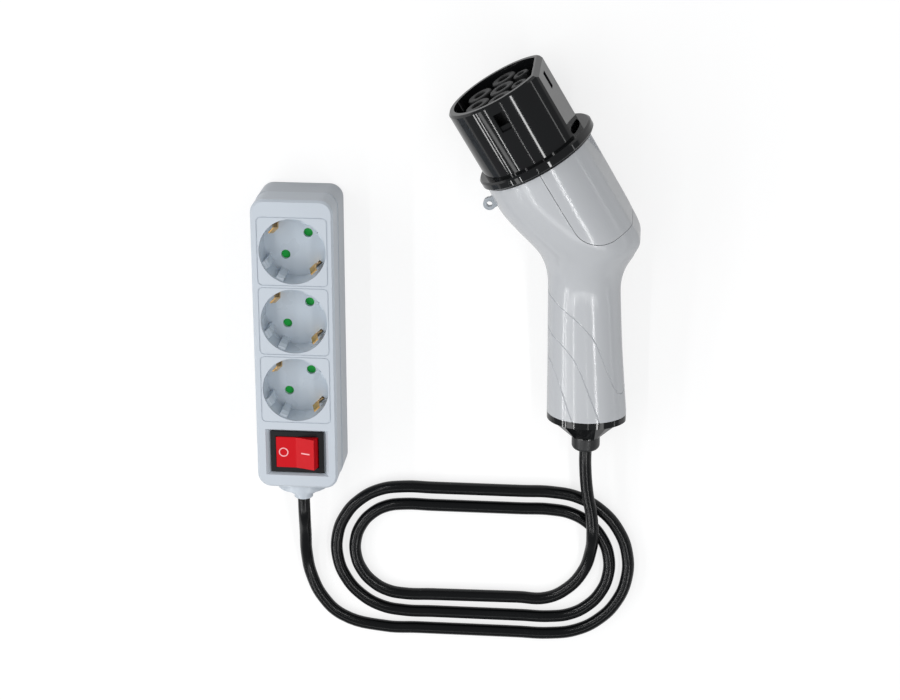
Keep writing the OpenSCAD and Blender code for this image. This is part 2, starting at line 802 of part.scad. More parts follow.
module coding_resistor() {
    color("#2f6b45") along_nose() translate([pin_shift + upper_row + 1.5, 0, block_back]) {
        translate([-4, -3.8, -1.6]) cube([9, 7.6, 1.6]);
        translate([0.5, -2.6, -2.5]) rotate([-90, 0, 0]) cylinder(r = 1.2, h = 5.2);
    }
}

// Connector: housing
lower_steps = 18;
side_steps = 6;
flat_steps = 3;
ring_size = lower_steps + 2 * side_steps + flat_steps;
fine = 3;

function spline(p0, p1, p2, p3, t) =
    0.5 * (2 * p1 + (p2 - p0) * t + (2 * p0 - 5 * p1 + 4 * p2 - p3) * t * t
    + (3 * p1 - 3 * p2 + p3 - p0) * t * t * t);
function station(i) = stations[max(0, min(last_station, i))];
housing_rings = concat(
    [for (i = [0:last_station - 1], j = [0:fine - 1])
        spline(station(i - 1), station(i), station(i + 1), station(i + 2), j / fine)],
    [stations[last_station]]
);

// Outline of one section: round below, round at the sides, cut flat on top
function section(low, high, w, flat) =
    let (corner = asin(flat), full = high / flat)
    concat(
        [for (i = [0:lower_steps - 1]) let (a = 180 + 180 * i / lower_steps) [low * sin(a), w * cos(a)]],
        [for (i = [0:side_steps - 1]) let (a = corner * i / side_steps) [full * sin(a), w * cos(a)]],
        [for (i = [0:flat_steps - 1]) [high, w * cos(corner) * (1 - 2 * i / flat_steps)]],
        [for (i = [0:side_steps - 1]) let (a = corner * (1 - i / side_steps)) [full * sin(a), -w * cos(a)]]
    );

function ring_points(s, inset) =
    let (under = [s[0], s[1]], over = [s[2], s[3]], h = norm(over - under), d = (over - under) / h,
         low = s[5] * h - inset, high = (1 - s[5]) * h - inset, mid = under + d * s[5] * h)
    [for (p = section(low, high, s[4] - inset, s[6])) [mid.x + d.x * p.x, mid.y + d.y * p.x, p.y]];

module loft(inset, grow) {
    n = len(housing_rings);
    along_front = [0, grow, 0];
    along_end = [-sin(bend), -cos(bend), 0] * grow;
    points = [for (i = [0:n - 1]) for (p = ring_points(housing_rings[i], inset))
        p + (i == 0 ? along_front : i == n - 1 ? along_end : [0, 0, 0])];
    faces = concat(
        [[for (j = [ring_size - 1:-1:0]) j]],
        [for (i = [0:n - 2], j = [0:ring_size - 1])
            let (a = i * ring_size + j, b = i * ring_size + (j + 1) % ring_size)
            each [[a, b, a + ring_size], [b, b + ring_size, a + ring_size]]],
        [[for (j = [0:ring_size - 1]) (n - 1) * ring_size + j]]
    );
    polyhedron(points, faces);
}

module housing_shell() {
    difference() {
        loft(0, 0);
        loft(shell_wall, 1);
    }
}

// Side view of the top cover, with a rounded corner low at the back
cover_low = 2.2;
cover_back = -62.5;
cover_corner = 17;
cover_seam = 0.3;
module cover_outline(gap) {
    front = 5;
    translate([0, 0, -50]) linear_extrude(100) union() {
        translate([cover_low + cover_corner + gap, cover_back + gap])
            square([30, front - cover_back - gap]);
        translate([cover_low + gap, cover_back + cover_corner + gap])
            square([30, front - cover_back - cover_corner - gap]);
        translate([cover_low + cover_corner + gap, cover_back + cover_corner + gap]) circle(cover_corner);
    }
}

module gun_housing() {
    color("#d9dcdf") lying() difference() {
        housing_shell();
        cover_outline(0);
        translate([-40, lug_y, 0]) rotate([0, 90, 0]) cylinder(r = lug_stem_r + seat_gap, h = 15);
    }
}

module top_cover() {
    color("#dde0e3") lying() difference() {
        intersection() {
            housing_shell();
            cover_outline(cover_seam);
        }
        translate([0, 0, -thumb_half_w]) linear_extrude(2 * thumb_half_w)
            polygon([
                [head_top + 2, thumb_front], [head_top - thumb_depth, thumb_front - 0.4],
                [head_top + 0.05, thumb_back], [head_top + 2, thumb_back]
            ]);
    }
}

lug_y = -17;
lug_stem_r = 1.8;
lug_under = -34.4;
module tether_lug() {
    color("#b9bec6") lying() translate([0, lug_y, 0]) {
        difference() {
            translate([0, 0, -1.6]) linear_extrude(3.2) union() {
                translate([lug_under - 4.2, 0]) circle(3.6);
                translate([lug_under - 4.2, -3.2]) square([4.1, 6.4]);
            }
            translate([lug_under - 4.2, 0, -5]) cylinder(r = 1.7, h = 10);
        }
        translate([lug_under - 0.6, 0, 0]) rotate([0, 90, 0]) cylinder(r = lug_stem_r, h = shell_wall + 1.8);
        translate([lug_under + shell_wall + 0.5, 0, 0]) rotate([0, 90, 0]) cylinder(r = 3, h = 1.2);
    }
}

// Connector: end of the handle
module end_outline(inset) {
    polygon([for (p = section(end_half - inset, end_half - inset, grip_half_w - inset, 0.965)) p]);
}

// Flat facets of the taper: their corners round a quarter of it, wide at the band, narrow at the lip
band_corners = [0, 17, 38, 56, 74];
lip_corners = [0, 18, 32, 44, 57];
function all_round(q) = concat(
    q, [for (i = [len(q) - 1:-1:1]) 180 - q[i]],
    [for (a = q) 180 + a], [for (i = [len(q) - 1:-1:1]) 360 - q[i]]
);
module facet_outline(rx, ry, corners) {
    polygon([for (a = all_round(corners)) [rx * cos(a), ry * sin(a)]]);
}

module grip_end_cap() {
    color("#141517") along_grip() difference() {
        union() {
            linear_extrude(band_t) end_outline(0);
            hull() {
                translate([0, 0, band_t - eps]) linear_extrude(eps)
                    facet_outline(end_half - taper_inset, grip_half_w - taper_inset, band_corners);
                translate([0, 0, band_t + taper_t - eps]) linear_extrude(eps)
                    facet_outline(lip_half, lip_side, lip_corners);
            }
            translate([0, 0, band_t + taper_t - eps]) cylinder(r = lip_r, h = lip_len + eps);
            translate([0, 0, -plug_len])
                linear_extrude(plug_len + eps) end_outline(shell_wall + 2 * slide_gap);
            translate([-tongue_w / 2, -tongue_side, -plug_len - tongue_len])
                cube([tongue_w, tongue_side - tail_bore_r, tongue_len + 1]);
        }
        translate([0, 0, -2 * tail_len]) cylinder(r = tail_bore_r, h = 4 * tail_len);
        for (s = [-1, 1]) translate([s * grip_screw_x, 0, -grip_screw_back])
            rotate([90, 0, 0]) cylinder(r = 1.1, h = 2 * tongue_side);
    }
}

module grip_gland() {
    color("#232527") along_grip() translate([0, 0, band_t + taper_t + lip_len]) difference() {
        rotate_extrude() polygon(concat(
            [[0, 0], [gland_d / 2, 0], [gland_d / 2, gland_len - 2.4]],
            [for (a = [15:15:90]) [gland_d / 2 - 2.4 + 2.4 * cos(a), gland_len - 2.4 + 2.4 * sin(a)]],
            [[0, gland_len]]
        ));
        translate([0, 0, -1]) cylinder(r = tail_bore_r, h = gland_len + 2);
    }
}

module gun_cord_tail() {
    color("#1b1c1e") along_grip() translate([0, 0, -tail_len]) cylinder(r = cord_r, h = tail_len + grip_out);
}

module gun_cord_clamp() {
    color("#3a3c3f") along_grip() difference() {
        translate([-tongue_w / 2, cord_r - 1, -grip_screw_back - grip_bar_l / 2])
            cube([tongue_w, grip_bar_t, grip_bar_l]);
        translate([0, 0, -2 * tail_len]) cylinder(r = tail_bore_r, h = 4 * tail_len);
        for (s = [-1, 1]) translate([s * grip_screw_x, 0, -grip_screw_back])
            rotate([-90, 0, 0]) cylinder(r = 1.4, h = 20);
    }
}

module gun_clamp_screws() {
    color("silver") along_grip() for (s = [-1, 1])
        translate([s * grip_screw_x, cord_r + grip_bar_t + 0.4, -grip_screw_back])
            rotate([90, 0, 0]) screw(1.05, 17, 2.3, 1.4);
}

strip_front_cover();
strip_back_cover();
strip_screws();
strip_gland();
strip_cord_tail();
strip_cord_clamp();
strip_clamp_screws();
socket_cup(0);  // socket_cup_1
socket_cup(1);  // socket_cup_2
socket_cup(2);  // socket_cup_3
shutter(0);  // shutter_1
shutter(1);  // shutter_2
shutter(2);  // shutter_3
earth_clip(0);  // earth_clip_1
earth_clip(1);  // earth_clip_2
earth_clip(2);  // earth_clip_3
contact_carrier();
contact_bar(1);  // line_bar
contact_bar(-1);  // neutral_bar
earth_bar();
switch_housing();
switch_rocker();
switch_terminals();
cord();
nose_shroud();
contact_block();
power_sleeve(0);  // sleeve_earth
power_sleeve(1);  // sleeve_neutral
power_sleeve(2);  // sleeve_line_1
power_sleeve(3);  // sleeve_line_2
power_sleeve(4);  // sleeve_line_3
signal_sleeve(0);  // sleeve_pilot
signal_sleeve(1);  // sleeve_proximity
nose_collar();
collar_seal();
contact(power_spots[0], power_r, power_bore_d / 2);  // contact_earth
contact(power_spots[1], power_r, power_bore_d / 2);  // contact_neutral
contact(power_spots[2], power_r, power_bore_d / 2);  // contact_line_1
contact(power_spots[3], power_r, power_bore_d / 2);  // contact_line_2
contact(power_spots[4], power_r, power_bore_d / 2);  // contact_line_3
contact(signal_spots[0], signal_r, signal_bore_d / 2);  // contact_pilot
contact(signal_spots[1], signal_r, signal_bore_d / 2);  // contact_proximity
coding_resistor();
gun_housing();
top_cover();
tether_lug();
grip_end_cap();
grip_gland();
gun_cord_tail();
gun_cord_clamp();
gun_clamp_screws();
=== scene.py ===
import json
import math

import bmesh
import bpy
import numpy as np
from mathutils import Matrix, Vector
from mathutils.bvhtree import BVHTree


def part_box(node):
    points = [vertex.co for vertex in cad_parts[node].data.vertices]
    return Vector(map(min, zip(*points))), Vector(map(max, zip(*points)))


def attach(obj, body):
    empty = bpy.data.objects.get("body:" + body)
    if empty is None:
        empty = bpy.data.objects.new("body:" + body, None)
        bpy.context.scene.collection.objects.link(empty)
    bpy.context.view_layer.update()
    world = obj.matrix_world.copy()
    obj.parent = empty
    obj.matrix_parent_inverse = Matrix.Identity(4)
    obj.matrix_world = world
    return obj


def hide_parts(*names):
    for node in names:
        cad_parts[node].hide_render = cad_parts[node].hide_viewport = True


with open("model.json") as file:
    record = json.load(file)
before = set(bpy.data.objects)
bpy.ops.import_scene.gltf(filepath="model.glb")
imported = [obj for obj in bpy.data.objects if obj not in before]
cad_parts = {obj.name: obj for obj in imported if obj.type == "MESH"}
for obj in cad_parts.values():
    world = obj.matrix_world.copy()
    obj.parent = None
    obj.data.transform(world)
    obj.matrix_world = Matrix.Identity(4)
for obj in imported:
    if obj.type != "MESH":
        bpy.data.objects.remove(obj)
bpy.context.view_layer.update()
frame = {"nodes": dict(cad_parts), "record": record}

MM = 0.001
nodes = frame["nodes"]
mounts = {m["name"]: m for m in frame["record"]["mounts"]}

# Connector frame: up, forward along the nose, left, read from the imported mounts
NOSE_LEN = 41.7
BEND = math.radians(29.8)
forward = Vector(mounts["nose_in_inlet"]["axis"]).normalized()
line_1 = Vector(mounts["contact_line_1_bore"]["pos_m"])
left = (line_1 - Vector(mounts["contact_neutral_bore"]["pos_m"])).normalized()
up = forward.cross(left)
flange = Vector(mounts["nose_in_inlet"]["pos_m"]) - forward * NOSE_LEN * MM
gun_matrix = Matrix((up, forward, left)).transposed().to_4x4()
gun_matrix.translation = flange

# The handle's own axes in that frame
GRIP_DOWN = np.array([-math.sin(BEND), -math.cos(BEND), 0])
GRIP_BACK = np.array([math.cos(BEND), -math.sin(BEND), 0])


# Camera
PHOTO_W = 900
VIEW_SCALE = 1.70  # pixels of the picture for each millimetre at the target
VIEW_DISTANCE = 1.25
SENSOR = 36.0
target = Vector((0.002, -0.04, 0.02))
toward_camera = Vector((0.09, 0.33, 0.94)).normalized()


def make_camera():
    data = bpy.data.cameras.new("camera")
    data.sensor_width = SENSOR
    data.lens = SENSOR * VIEW_DISTANCE * VIEW_SCALE / (PHOTO_W * MM)
    camera = bpy.data.objects.new("camera", data)
    bpy.context.scene.collection.objects.link(camera)
    back = toward_camera
    across = Vector((0, 1, 0)).cross(back).normalized()
    above = back.cross(across)
    camera.matrix_world = Matrix((across, above, back)).transposed().to_4x4()
    camera.location = target + back * VIEW_DISTANCE
    bpy.context.scene.camera = camera


make_camera()


# Cord: the route of the part's own cord, in millimetres
CORD_D = 7.5
LIE_Z = CORD_D / 2 + 0.1
STRIP_X, STRIP_END_Y, GLAND_Z = -87.1, -136.8, 20
RUN_GAP = 11.5
LOOP_LEFT, LOOP_RIGHT, LOOP_LOW, LOOP_HIGH = -70, 110, -230, -135
CORD_START = [
    (STRIP_X, STRIP_END_Y, GLAND_Z), (STRIP_X, STRIP_END_Y - 12, GLAND_Z - 1), (-88, -164, 11.5),
    (-88.5, -181, 6), (-86, -197, LIE_Z), (-79, -212, LIE_Z), (-67, -223.5, LIE_Z),
]
CORD_END = [
    (60, -206, LIE_Z), (73, -199, LIE_Z), (82.5, -187, LIE_Z), (87, -172, 7), (88, -158, 12.6),
    (87, -144, 13.6), (84.5, -131, 13.9),
]
ARC_STEPS = 9
RUN_STEPS = 4           # points on each straight run
GRIP_GLAND_LEN = 8.7
STRAIGHT_OUT = 12       # how far the cord keeps the gland's direction


def arc(cx, low, high, start, end):
    """Half a turn of the loops, round its own centre."""
    radius = (high - low) / 2
    angles = [start + (end - start) * i / ARC_STEPS for i in range(ARC_STEPS + 1)]
    return [(cx + radius * math.cos(a), (low + high) / 2 + radius * math.sin(a), LIE_Z) for a in angles]


def straight(a, b, count):
    """Points between a and b, without its ends."""
    return [tuple(a[k] + (b[k] - a[k]) * i / (count + 1) for k in range(3)) for i in range(1, count + 1)]


def cord_route():
    first_r = (LOOP_HIGH - LOOP_LOW) / 2
    second_r = first_r - RUN_GAP / 2
    right_x, left_x = LOOP_RIGHT - first_r, LOOP_LEFT + second_r
    route = CORD_START + [(left_x - STRAIGHT_OUT, LOOP_LOW, LIE_Z)]
    for k in range(2):
        low, high = LOOP_LOW + k * RUN_GAP, LOOP_HIGH - k * RUN_GAP
        right = arc(right_x, low, high, -math.pi / 2, math.pi / 2)
        back = arc(left_x, low + RUN_GAP, high, math.pi / 2, 3 * math.pi / 2)
        route += straight(route[-1], right[0], RUN_STEPS) + right
        route += straight(right[-1], back[0], RUN_STEPS) + back
    route += straight(route[-1], CORD_END[0], RUN_STEPS) + CORD_END
    return route


def grip_end():
    """Where the cord leaves the connector's gland, and the direction in which it leaves."""
    low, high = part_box("grip_gland")
    along = -(forward * math.cos(BEND) + up * math.sin(BEND))
    centre = (low + high) / 2
    return centre + along * (GRIP_GLAND_LEN / 2 * MM), along


def make_cord():
    end, along = grip_end()
    points = [Vector(p) * MM for p in cord_route()] + [end + along * STRAIGHT_OUT * MM, end]
    curve = bpy.data.curves.new("free_cord", "CURVE")
    curve.dimensions = "3D"
    curve.bevel_depth = 1.0  # each point carries the real radius
    curve.bevel_resolution = 6
    curve.resolution_u = 6
    curve.use_fill_caps = True
    spline = curve.splines.new("BEZIER")
    spline.bezier_points.add(len(points) - 1)
    for bezier, point in zip(spline.bezier_points, points):
        bezier.co = point
        bezier.radius = CORD_D / 2 * MM
        bezier.handle_left_type = bezier.handle_right_type = "AUTO"
    piece = bpy.data.objects.new("free_cord", curve)
    bpy.context.scene.collection.objects.link(piece)
    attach(piece, "adapter")
    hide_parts("cord")
    return piece


cord_piece = make_cord()


# Housing of the connector, in millimetres: up, forward and left of the flange.
# Each station: underside, top side, half width, share of the height below the widest line, and
# flatness of the top
STATIONS = [
    (-33.8, -6.2, 29, -6.2, 32.6, 0.54, 0.88),
    (-34.4, -22, 29, -24, 32.2, 0.54, 0.88),
    (-32.2, -35, 29, -42, 31.2, 0.54, 0.885),
    (-29.2, -47, 28.9, -60, 29.2, 0.54, 0.89),
    (-28, -56, 27.6, -74, 26, 0.54, 0.9),
    (-28.9, -64, 20, -81, 22.6, 0.53, 0.93),
    (-31.2, -71, 11.2, -86.8, 19.8, 0.52, 0.95),
    (-34.9, -78.1, 3.9, -94.9, 18.2, 0.51, 0.96),
    (-43, -92.3, -3.3, -108, 17.4, 0.5, 0.965),
    (-57.5, -117.8, -17, -135.2, 17.3, 0.5, 0.965),
    (-73.9, -146.2, -33.2, -169.5, 17.6, 0.5, 0.965),
]
GRIP_END = np.append((np.array(STATIONS[-1][0:2]) + np.array(STATIONS[-1][2:4])) / 2, 0)
CREASE = 5                          # station where the top of the head folds into the handle
FOLD_FROM, FOLD_OVER = 0.3, 0.5     # share of the height where the fold starts, and over which it sharpens
SHELL_WALL = 2.8
SOFTEN = 1.6                        # how far the corners of a section are rounded
UNDER_STEPS, RISE_STEPS, TOP_STEPS = 400, 120, 60  # points of a section before they are spaced evenly
RING, OUTER_STEPS = 192, 15         # corners of a section, and rows from one station to the next
INNER_RING, INNER_STEPS = 72, 5
OVERRUN = 1                         # how far the hollow runs past both ends, to open them

# Cover on the head, with its thumb recess, and the hole for the lug's stem
COVER_LOW, COVER_BACK, COVER_CORNER, COVER_SEAM = 2.2, -62.5, 17, 0.3
COVER_FRONT, COVER_UP, COVER_HALF_W = 5, 60, 50    # how far the cutting shape reaches past the head
THUMB = [(31, -8), (27.1, -8.4), (29.05, -26), (31, -26)]
THUMB_HALF_W = 12
LUG_Y, LUG_HOLE_R = -17, 1.95
LUG_HOLE_LOW, LUG_HOLE_HIGH = -40, -25

# Grooves in the handle
GRIP_HALF = (23.4, 17.6)            # half of the handle's section, front to back and side to side
GROOVE_R, GROOVE_SIDES = 0.46, 8
GROOVE_LIFT = 0.04                  # how far the middle of a groove lies above the surface
GROOVE_EDGE = 0.4                   # height above the handle's end below which a groove runs straight on
GROOVE_FADE, GROOVE_FADE_STEP = 0.36, 0.06  # lift at a line's end, and how much goes with each point
FAR_OUT = 60                        # where the rays start that find the surface
# Lines pressed into the handle: place from underside (-) to back (+), and height above its end
GRIP_LINES = [
    [(-23.4, 78.6), (-22.9, 77.4), (-19.5, 76.1), (-14, 71.8), (-7.9, 67.7), (-0.9, 60.6), (5.6, 51.6),
     (10.6, 38.4), (15.8, 23), (18.4, 17.6), (20.2, 15.8), (21.5, 15.6), (22.5, 17.5), (22.9, 22)],
    [(-23.4, 56.6), (-23, 55.6), (-20.2, 53.1), (-14, 49), (-7.5, 41.4), (-3.9, 34.7), (0.6, 22.5),
     (7.5, 2.8), (8.6, -1.5)],
    [(-23.4, 38), (-23, 37), (-20.2, 34.9), (-17, 27.2), (-14, 18.7), (-7.9, 1.1), (-7.2, -1.5)],
]


def section(low, high, half, flat, count):
    """Closed outline of one section from its lowest point round: height and side, evenly spaced."""
    corner, full = math.asin(flat), high / flat
    below = np.linspace(math.pi, 2 * math.pi, UNDER_STEPS, endpoint=False)
    rise = np.linspace(0, corner, RISE_STEPS, endpoint=False)
    top = np.linspace(1, -1, TOP_STEPS, endpoint=False) * half * math.cos(corner)
    height = np.concatenate([low * np.sin(below), full * np.sin(rise), np.full(TOP_STEPS, high),
                             full * np.sin(rise[::-1])])
    side = np.concatenate([half * np.cos(below), half * np.cos(rise), top, -half * np.cos(rise[::-1])])
    outline = np.roll(np.stack([height, side], 1), -UNDER_STEPS // 2, axis=0)
    outline = np.vstack([outline, outline[:1]])
    length = np.concatenate([[0], np.cumsum(np.linalg.norm(np.diff(outline, axis=0), axis=1))])
    even = np.linspace(0, length[-1], count, endpoint=False)
    ring = np.stack([np.interp(even, length, outline[:, k]) for k in range(2)], 1)
    waves = np.fft.fftfreq(count) * count / length[-1]
    blur = np.exp(-2 * (math.pi * SOFTEN * waves) ** 2)[:, None]
    return np.real(np.fft.ifft(np.fft.fft(ring, axis=0) * blur, axis=0))


def station_ring(station, inset, count):
    """Points of one station, and how near each is to the top, from 0 to 1."""
    under, over = np.array(station[0:2]), np.array(station[2:4])
    height = np.linalg.norm(over - under)
    up_dir = (over - under) / height
    low, high = station[5] * height - inset, (1 - station[5]) * height - inset
    ring = section(low, high, station[4] - inset, station[6], count)
    centre = under + up_dir * station[5] * height
    points = np.column_stack([centre + ring[:, :1] * up_dir, ring[:, 1]])
    return points, (ring[:, 0] + low) / (low + high)


def catmull(p0, p1, p2, p3, t):
    """Point on the smooth curve from p1 to p2, at t from 0 to 1."""
    return 0.5 * (2 * p1 + (p2 - p0) * t + (2 * p0 - 5 * p1 + 4 * p2 - p3) * t ** 2
                  + (3 * p1 - 3 * p2 + p3 - p0) * t ** 3)


def new_mesh(name, points, faces):
    mesh = bpy.data.meshes.new(name)
    mesh.from_pydata([tuple(map(float, p)) for p in points], [], faces)
    mesh.update()
    return mesh


def skin(name, points, count, clockwise=False):
    """Closed mesh through rings of count points, which run counterclockwise as seen from the last ring."""
    last = len(points) - count
    faces = [list(reversed(range(count))), list(range(last, last + count))]
    if clockwise:
        faces = [face[::-1] for face in faces]
    for start in range(0, last, count):
        for j in range(count):
            k = (j + 1) % count
            face = [start + j, start + k, start + count + k, start + count + j]
            faces.append([face[0], *face[:0:-1]] if clockwise else face)
    return new_mesh(name, points, faces)


def loft(inset, count, steps, overrun):
    """Mesh through the stations. The fold is sharp on top and fades out towards the underside."""
    rings, near_top = zip(*(station_ring(s, inset, count) for s in STATIONS))
    fold = np.clip((np.array(near_top[CREASE]) - FOLD_FROM) / FOLD_OVER, 0, 1)[:, None]
    fold = fold * fold * (3 - 2 * fold)
    last = len(rings) - 1
    rows = []
    for i in range(last):
        before, start, end, after = rings[max(i - 1, 0)], rings[i], rings[i + 1], rings[min(i + 2, last)]
        sharp_before = 2 * start - end if i == CREASE else before
        sharp_after = 2 * end - start if i == CREASE - 1 else after
        for t in np.arange(steps) / steps:
            smooth = catmull(before, start, end, after, t)
            rows.append(smooth + (catmull(sharp_before, start, end, sharp_after, t) - smooth) * fold)
    rows.append(rings[last].copy())
    rows[0] = rows[0] + np.array([0, overrun, 0])
    rows[-1] = rows[-1] + GRIP_DOWN * overrun
    return skin("loft", np.concatenate(rows), count, clockwise=True)


def stack(*rings):
    """Closed mesh through rings given as (height, outline), all with as many corners."""
    return skin("stack", [(x, y, z) for z, outline in rings for x, y in outline], len(rings[0][1]))


def tube(outline, low, high):
    return stack((low, outline), (high, outline))


def circle(r, count=40):
    return [(r * math.cos(a), r * math.sin(a)) for a in np.linspace(0, 2 * math.pi, count, endpoint=False)]


def cover_prism(gap):
    """Shape that cuts the cover out of the head, smaller all round by the gap."""
    low, back, r = COVER_LOW + gap, COVER_BACK + gap, COVER_CORNER
    bend = [(low + r - r * math.cos(a), back + r - r * math.sin(a))
            for a in np.linspace(0, math.pi / 2, 25)]
    outline = [(low, COVER_FRONT), *bend, (low + COVER_UP, back), (low + COVER_UP, COVER_FRONT)]
    return tube(outline, -COVER_HALF_W, COVER_HALF_W)


def lug_hole():
    ring = circle(LUG_HOLE_R, 32)
    points = [(x, LUG_Y + u, v) for x in (LUG_HOLE_LOW, LUG_HOLE_HIGH) for u, v in ring]
    return skin("lug_hole", points, len(ring))


def grip_line(tree, line):
    """Thin tube that lies half in the surface of the handle, along one line and its mirror image."""
    path = np.array([(math.acos(max(-1.0, min(1.0, k / GRIP_HALF[0]))), h) for k, h in line])
    path = np.vstack([(path[::-1] * [-1, 1] + [2 * math.pi, 0])[:-1], path])
    for _ in range(3):  # corners cut off, three times
        cut = np.empty((2 * len(path) - 2, 2))
        cut[0::2], cut[1::2] = 0.75 * path[:-1] + 0.25 * path[1:], 0.25 * path[:-1] + 0.75 * path[1:]
        path = np.vstack([path[:1], cut, path[-1:]])
    spots, normals = [], []
    for angle, height in path:
        across = np.array([GRIP_HALF[0] * math.cos(angle), GRIP_HALF[1] * math.sin(angle)])
        outward = (GRIP_BACK * across[0] + np.array([0, 0, across[1]])) / np.linalg.norm(across)
        origin = GRIP_END - GRIP_DOWN * max(height, GROOVE_EDGE) + outward * FAR_OUT
        hit, normal, _, _ = tree.ray_cast(Vector(origin), Vector(-outward))
        spots.append(np.array(hit) - GRIP_DOWN * min(height - GROOVE_EDGE, 0))
        normals.append(np.array(normal))
    spots, normals = np.array(spots), np.array(normals)
    if line[-1][1] > GROOVE_EDGE:  # it ends on the handle, so it fades out there
        from_end = np.minimum(np.arange(len(spots)), np.arange(len(spots))[::-1])
        spots = spots + normals * np.clip(GROOVE_FADE - from_end * GROOVE_FADE_STEP, 0, 1)[:, None]
    tangents = np.gradient(spots, axis=0)
    tangents /= np.linalg.norm(tangents, axis=1)[:, None]
    sides = np.cross(tangents, normals)
    sides /= np.linalg.norm(sides, axis=1)[:, None]
    ups = np.cross(sides, tangents)
    turns = np.linspace(0, 2 * math.pi, GROOVE_SIDES, endpoint=False)
    points = [spot + GROOVE_R * (math.cos(a) * side + math.sin(a) * up_dir) + GROOVE_LIFT * up_dir
              for spot, side, up_dir in zip(spots, sides, ups) for a in turns]
    return skin("grip_line", points, GROOVE_SIDES, clockwise=True)


WELD = 0.006  # corners closer than this are one


def carve(base, *steps):
    """Mesh of base after each (operation, mesh) in turn."""
    collection = bpy.context.scene.collection
    body = bpy.data.objects.new("body", base)
    helpers = []
    collection.objects.link(body)
    for operation, mesh in steps:
        helper = bpy.data.objects.new("helper", mesh)
        collection.objects.link(helper)
        modifier = body.modifiers.new(operation, "BOOLEAN")
        modifier.operation, modifier.solver, modifier.object = operation, "MANIFOLD", helper
        helpers.append(helper)
    shape = body.evaluated_get(bpy.context.evaluated_depsgraph_get())
    result = bpy.data.meshes.new_from_object(shape)
    for item in [body, *helpers]:
        bpy.data.objects.remove(item)
    tidy = bmesh.new()
    tidy.from_mesh(result)
    bmesh.ops.remove_doubles(tidy, verts=tidy.verts, dist=WELD)
    bmesh.ops.dissolve_degenerate(tidy, edges=tidy.edges, dist=WELD)
    tidy.to_mesh(result)
    tidy.free()
    return result


def gun_piece(name, mesh, node, sharp=24):
    """Piece from a mesh in the connector's frame, in millimetres, that stands for a node."""
    mesh.transform(gun_matrix @ Matrix.Scale(MM, 4))
    mesh.polygons.foreach_set("use_smooth", [True] * len(mesh.polygons))
    mesh.set_sharp_from_angle(angle=math.radians(sharp))
    piece = bpy.data.objects.new(name, mesh)
    bpy.context.scene.collection.objects.link(piece)
    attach(piece, "adapter")
    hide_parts(node)
    return piece


def make_housing():
    outer = loft(0, RING, OUTER_STEPS, 0)
    tree = BVHTree.FromPolygons([v.co for v in outer.vertices], [p.vertices for p in outer.polygons])
    lines = [("DIFFERENCE", grip_line(tree, line)) for line in GRIP_LINES]
    inner = ("DIFFERENCE", loft(SHELL_WALL, INNER_RING, INNER_STEPS, OVERRUN))
    housing = carve(outer, inner, ("DIFFERENCE", cover_prism(0)), ("DIFFERENCE", lug_hole()), *lines)
    cover = carve(outer, inner, ("INTERSECT", cover_prism(COVER_SEAM)),
                  ("DIFFERENCE", tube(THUMB, -THUMB_HALF_W, THUMB_HALF_W)))
    return [gun_piece("connector_shell", housing, "gun_housing"),
            gun_piece("connector_cover", cover, "top_cover")]


housing_pieces = make_housing()


# End of the handle: smooth band, then a faceted taper down to the gland
END_HALF, END_SIDE = 23.45, 17.6
BAND_T, TAPER_T, TAPER_INSET = 4.2, 11, 1
LIP_HALF, LIP_SIDE, LIP_R, LIP_LEN = 9.6, 10, 8.9, 0.8
PLUG_LEN, PLUG_INSET = 10, 3.4
TONGUE_LEN, TONGUE_W, TONGUE_SIDE = 24, 22, 9
CORD_HOLE_R, CORD_HOLE_REACH = 3.9, 80
SCREW_HOLE_R, SCREW_X, SCREW_BACK = 1.1, 8, 14
BAND_CORNERS = [0, 17, 38, 56, 74]  # degrees of the taper's corners, in each quarter
LIP_CORNERS = [0, 18, 32, 44, 57]
OVERLAP = 0.01
CAP_SHARP = 12    # degrees between faces from which an edge of the cap is sharp


def oval(rx, ry, corners):
    """Outline with these corners, in degrees, in each quarter."""
    turned = corners + [180 - a for a in corners[:0:-1]]
    return [(rx * math.cos(math.radians(a)), ry * math.sin(math.radians(a)))
            for a in turned + [180 + a for a in turned]]


def end_outline(inset):
    """The handle's section at its end, counterclockwise."""
    return section(END_HALF - inset, END_HALF - inset, END_SIDE - inset, STATIONS[-1][6], RING)[::-1]


